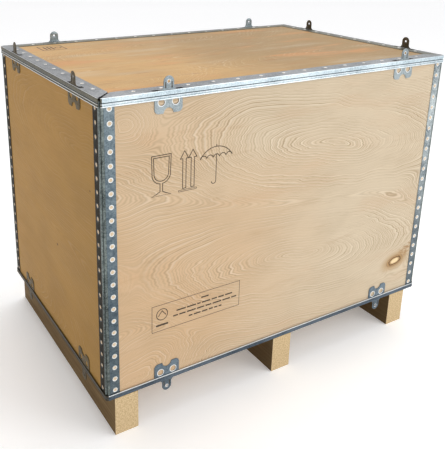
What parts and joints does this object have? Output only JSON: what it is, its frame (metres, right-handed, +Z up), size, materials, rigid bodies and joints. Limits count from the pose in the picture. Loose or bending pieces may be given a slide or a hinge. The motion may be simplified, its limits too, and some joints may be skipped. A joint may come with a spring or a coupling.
{
  "type": "shipping crate",
  "caption": "Folding plywood shipping crate with galvanised steel edges, bendable locking tongues, a lift-off lid and a base on wooden runners.",
  "frame": {"origin": "on the ground under the middle of the crate", "axes": "+X along the long side to the right, +Y to the back, +Z up; the marked wall faces -Y"},
  "size_m": [1.2, 0.8, 0.9905],
  "materials": {
    "plywood": "bare rotary-cut veneer plywood, sanded, with open plied edges",
    "runner_timber": "sawn softwood, unplaned",
    "galvanised_steel": "hot-dip galvanised strip, cold formed and pierced",
    "nail_steel": "bright wire nail"
  },
  "bodies": {
    "base": {"base_panel": "plywood", "base_edge_front": "galvanised_steel", "base_edge_right": "galvanised_steel", "base_edge_back": "galvanised_steel", "base_edge_left": "galvanised_steel", "runner_left": "runner_timber", "runner_middle": "runner_timber", "runner_right": "runner_timber", "runner_nail_left_front": "nail_steel", "runner_nail_left_back": "nail_steel", "runner_nail_middle_front": "nail_steel", "runner_nail_middle_back": "nail_steel", "runner_nail_right_front": "nail_steel", "runner_nail_right_back": "nail_steel"},
    "belt": {"wall_front": "plywood", "wall_right": "plywood", "wall_back": "plywood", "wall_left": "plywood", "corner_profile_front_left": "galvanised_steel", "corner_profile_front_right": "galvanised_steel", "corner_profile_back_right": "galvanised_steel", "corner_profile_back_left": "galvanised_steel", "upper_plate_front_left": "galvanised_steel", "upper_plate_front_right": "galvanised_steel", "upper_plate_right_front": "galvanised_steel", "upper_plate_right_back": "galvanised_steel", "upper_plate_back_right": "galvanised_steel", "upper_plate_back_left": "galvanised_steel", "upper_plate_left_back": "galvanised_steel", "upper_plate_left_front": "galvanised_steel", "lower_plate_front_left": "galvanised_steel", "lower_plate_front_right": "galvanised_steel", "lower_plate_right_front": "galvanised_steel", "lower_plate_right_back": "galvanised_steel", "lower_plate_back_right": "galvanised_steel", "lower_plate_back_left": "galvanised_steel", "lower_plate_left_back": "galvanised_steel", "lower_plate_left_front": "galvanised_steel"},
    "lid": {"lid_panel": "plywood", "lid_edge_front": "galvanised_steel", "lid_edge_right": "galvanised_steel", "lid_edge_back": "galvanised_steel", "lid_edge_left": "galvanised_steel"},
    "upper_tongue_front_left": {"upper_tongue_front_left": "galvanised_steel"},
    "upper_tongue_front_right": {"upper_tongue_front_right": "galvanised_steel"},
    "upper_tongue_right_front": {"upper_tongue_right_front": "galvanised_steel"},
    "upper_tongue_right_back": {"upper_tongue_right_back": "galvanised_steel"},
    "upper_tongue_back_right": {"upper_tongue_back_right": "galvanised_steel"},
    "upper_tongue_back_left": {"upper_tongue_back_left": "galvanised_steel"},
    "upper_tongue_left_back": {"upper_tongue_left_back": "galvanised_steel"},
    "upper_tongue_left_front": {"upper_tongue_left_front": "galvanised_steel"},
    "lower_tongue_front_left": {"lower_tongue_front_left": "galvanised_steel"},
    "lower_tongue_front_right": {"lower_tongue_front_right": "galvanised_steel"},
    "lower_tongue_right_front": {"lower_tongue_right_front": "galvanised_steel"},
    "lower_tongue_right_back": {"lower_tongue_right_back": "galvanised_steel"},
    "lower_tongue_back_right": {"lower_tongue_back_right": "galvanised_steel"},
    "lower_tongue_back_left": {"lower_tongue_back_left": "galvanised_steel"},
    "lower_tongue_left_back": {"lower_tongue_left_back": "galvanised_steel"},
    "lower_tongue_left_front": {"lower_tongue_left_front": "galvanised_steel"}
  },
  "joints": [
    {"name": "belt_lift", "type": "slide", "parent": "base", "child": "belt", "axis": [0, 0, 1], "range_m": [0, 0.3]},
    {"name": "lid_lift", "type": "slide", "parent": "belt", "child": "lid", "axis": [0, 0, 1], "range_m": [0, 0.3]},
    {"name": "upper_tongue_front_left_bend", "type": "hinge", "parent": "belt", "child": "upper_tongue_front_left", "pos_m": [-0.414, -0.3968, 0.955], "axis": [-1, 0, 0], "range_deg": [0, 90]},
    {"name": "upper_tongue_front_right_bend", "type": "hinge", "parent": "belt", "child": "upper_tongue_front_right", "pos_m": [0.414, -0.3968, 0.955], "axis": [-1, 0, 0], "range_deg": [0, 90]},
    {"name": "upper_tongue_right_front_bend", "type": "hinge", "parent": "belt", "child": "upper_tongue_right_front", "pos_m": [0.5968, -0.242, 0.955], "axis": [0, -1, 0], "range_deg": [0, 90]},
    {"name": "upper_tongue_right_back_bend", "type": "hinge", "parent": "belt", "child": "upper_tongue_right_back", "pos_m": [0.5968, 0.242, 0.955], "axis": [0, -1, 0], "range_deg": [0, 90]},
    {"name": "upper_tongue_back_right_bend", "type": "hinge", "parent": "belt", "child": "upper_tongue_back_right", "pos_m": [0.414, 0.3968, 0.955], "axis": [1, 0, 0], "range_deg": [0, 90]},
    {"name": "upper_tongue_back_left_bend", "type": "hinge", "parent": "belt", "child": "upper_tongue_back_left", "pos_m": [-0.414, 0.3968, 0.955], "axis": [1, 0, 0], "range_deg": [0, 90]},
    {"name": "upper_tongue_left_back_bend", "type": "hinge", "parent": "belt", "child": "upper_tongue_left_back", "pos_m": [-0.5968, 0.242, 0.955], "axis": [0, 1, 0], "range_deg": [0, 90]},
    {"name": "upper_tongue_left_front_bend", "type": "hinge", "parent": "belt", "child": "upper_tongue_left_front", "pos_m": [-0.5968, -0.242, 0.955], "axis": [0, 1, 0], "range_deg": [0, 90]},
    {"name": "lower_tongue_front_left_bend", "type": "hinge", "parent": "belt", "child": "lower_tongue_front_left", "pos_m": [-0.414, -0.3968, 0.1193], "axis": [1, 0, 0], "range_deg": [0, 90]},
    {"name": "lower_tongue_front_right_bend", "type": "hinge", "parent": "belt", "child": "lower_tongue_front_right", "pos_m": [0.414, -0.3968, 0.1193], "axis": [1, 0, 0], "range_deg": [0, 90]},
    {"name": "lower_tongue_right_front_bend", "type": "hinge", "parent": "belt", "child": "lower_tongue_right_front", "pos_m": [0.5968, -0.242, 0.1193], "axis": [0, 1, 0], "range_deg": [0, 90]},
    {"name": "lower_tongue_right_back_bend", "type": "hinge", "parent": "belt", "child": "lower_tongue_right_back", "pos_m": [0.5968, 0.242, 0.1193], "axis": [0, 1, 0], "range_deg": [0, 90]},
    {"name": "lower_tongue_back_right_bend", "type": "hinge", "parent": "belt", "child": "lower_tongue_back_right", "pos_m": [0.414, 0.3968, 0.1193], "axis": [-1, 0, 0], "range_deg": [0, 90]},
    {"name": "lower_tongue_back_left_bend", "type": "hinge", "parent": "belt", "child": "lower_tongue_back_left", "pos_m": [-0.414, 0.3968, 0.1193], "axis": [-1, 0, 0], "range_deg": [0, 90]},
    {"name": "lower_tongue_left_back_bend", "type": "hinge", "parent": "belt", "child": "lower_tongue_left_back", "pos_m": [-0.5968, 0.242, 0.1193], "axis": [0, -1, 0], "range_deg": [0, 36]},
    {"name": "lower_tongue_left_front_bend", "type": "hinge", "parent": "belt", "child": "lower_tongue_left_front", "pos_m": [-0.5968, -0.242, 0.1193], "axis": [0, -1, 0], "range_deg": [0, 36]}
  ]
}
